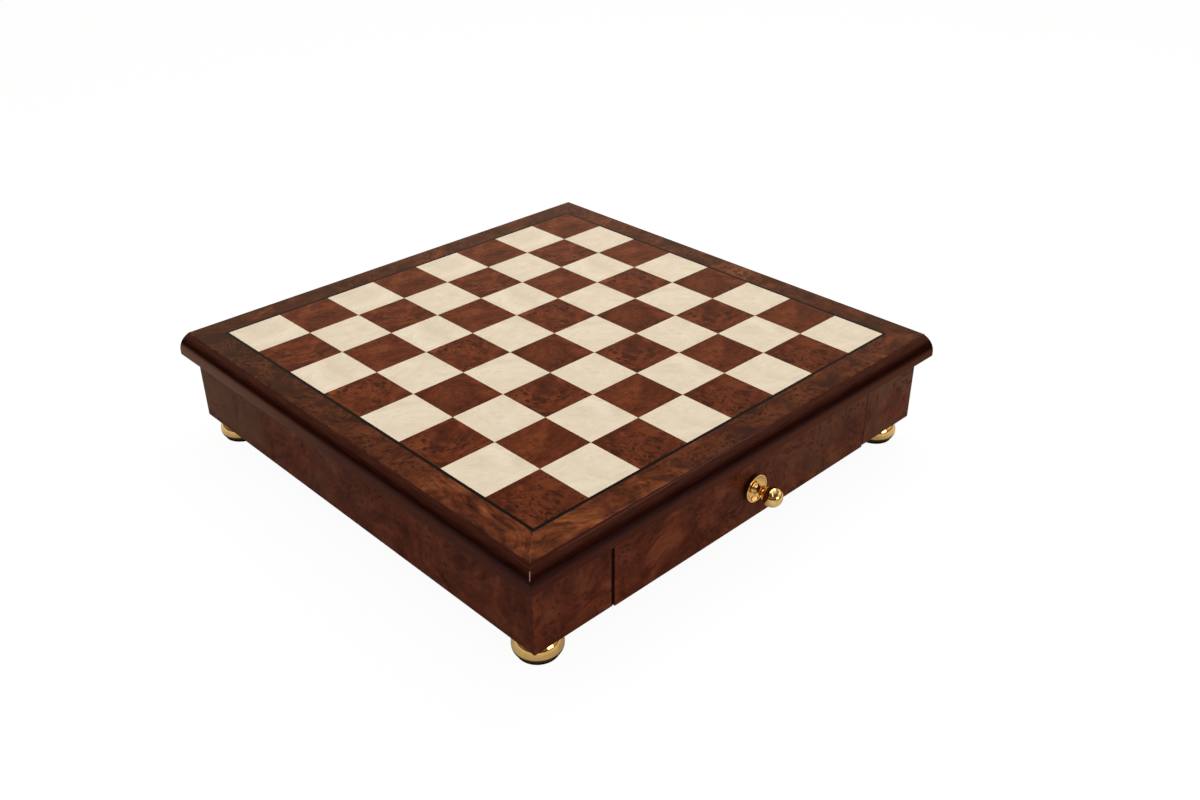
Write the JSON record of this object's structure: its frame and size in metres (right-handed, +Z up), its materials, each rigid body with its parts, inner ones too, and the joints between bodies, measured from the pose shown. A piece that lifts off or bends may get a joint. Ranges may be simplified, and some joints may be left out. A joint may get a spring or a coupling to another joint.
{
  "type": "chess box with drawers",
  "caption": "Square chess box: inlaid burl chessboard with rounded moulding on a shallow veneered carcass, brass bun feet, and a lined drawer with a ball knob at front and back.",
  "frame": {"origin": "centre of the box on the floor, midway between the two drawer knobs", "axes": "+Z up through the board, -Y out of the first drawer, +X to the right of someone facing that drawer"},
  "size_m": [0.418, 0.4516, 0.092],
  "materials": {
    "core_board": "matte",
    "pale_veneer": "satin lacquer",
    "dark_burl": "satin lacquer",
    "black_line": "satin lacquer",
    "border_burl": "satin lacquer",
    "moulding": "high gloss lacquer",
    "carcass_burl": "satin lacquer",
    "plywood": "sanded",
    "softwood": "planed",
    "drawer_wood": "satin lacquer",
    "brass": "polished",
    "steel": "zinc plated",
    "pad": "matte",
    "felt": "felt"
  },
  "bodies": {
    "box": {"top_core": "core_board", "light_squares": "pale_veneer", "dark_squares": "dark_burl", "stringing_front": "black_line", "stringing_right": "black_line", "stringing_back": "black_line", "stringing_left": "black_line", "border_front": "border_burl", "border_right": "border_burl", "border_back": "border_burl", "border_left": "border_burl", "moulding_front": "moulding", "moulding_right": "moulding", "moulding_back": "moulding", "moulding_left": "moulding", "side_left": "carcass_burl", "side_right": "carcass_burl", "post_front_left": "carcass_burl", "post_front_right": "carcass_burl", "post_back_left": "carcass_burl", "post_back_right": "carcass_burl", "bottom_panel": "plywood", "guide_left": "softwood", "guide_right": "softwood", "centre_stop": "softwood", "corner_block_front_left": "softwood", "corner_block_front_right": "softwood", "corner_block_back_left": "softwood", "corner_block_back_right": "softwood", "foot_front_left": "brass", "foot_front_right": "brass", "foot_back_left": "brass", "foot_back_right": "brass", "pad_front_left": "pad", "pad_front_right": "pad", "pad_back_left": "pad", "pad_back_right": "pad", "foot_screws": "steel"},
    "drawer_1": {"drawer_1_front": "carcass_burl", "drawer_1_side_left": "drawer_wood", "drawer_1_side_right": "drawer_wood", "drawer_1_back": "drawer_wood", "drawer_1_bottom": "plywood", "drawer_1_lining": "felt", "drawer_1_rosette": "brass", "drawer_1_knob": "brass", "drawer_1_knob_screw": "steel"},
    "drawer_2": {"drawer_2_front": "carcass_burl", "drawer_2_side_left": "drawer_wood", "drawer_2_side_right": "drawer_wood", "drawer_2_back": "drawer_wood", "drawer_2_bottom": "plywood", "drawer_2_lining": "felt", "drawer_2_rosette": "brass", "drawer_2_knob": "brass", "drawer_2_knob_screw": "steel"}
  },
  "joints": [
    {"name": "drawer_1_slide", "type": "slide", "parent": "box", "child": "drawer_1", "axis": [0, -1, 0], "range_m": [0, 0.15]},
    {"name": "drawer_2_slide", "type": "slide", "parent": "box", "child": "drawer_2", "axis": [0, 1, 0], "range_m": [0, 0.15]}
  ]
}
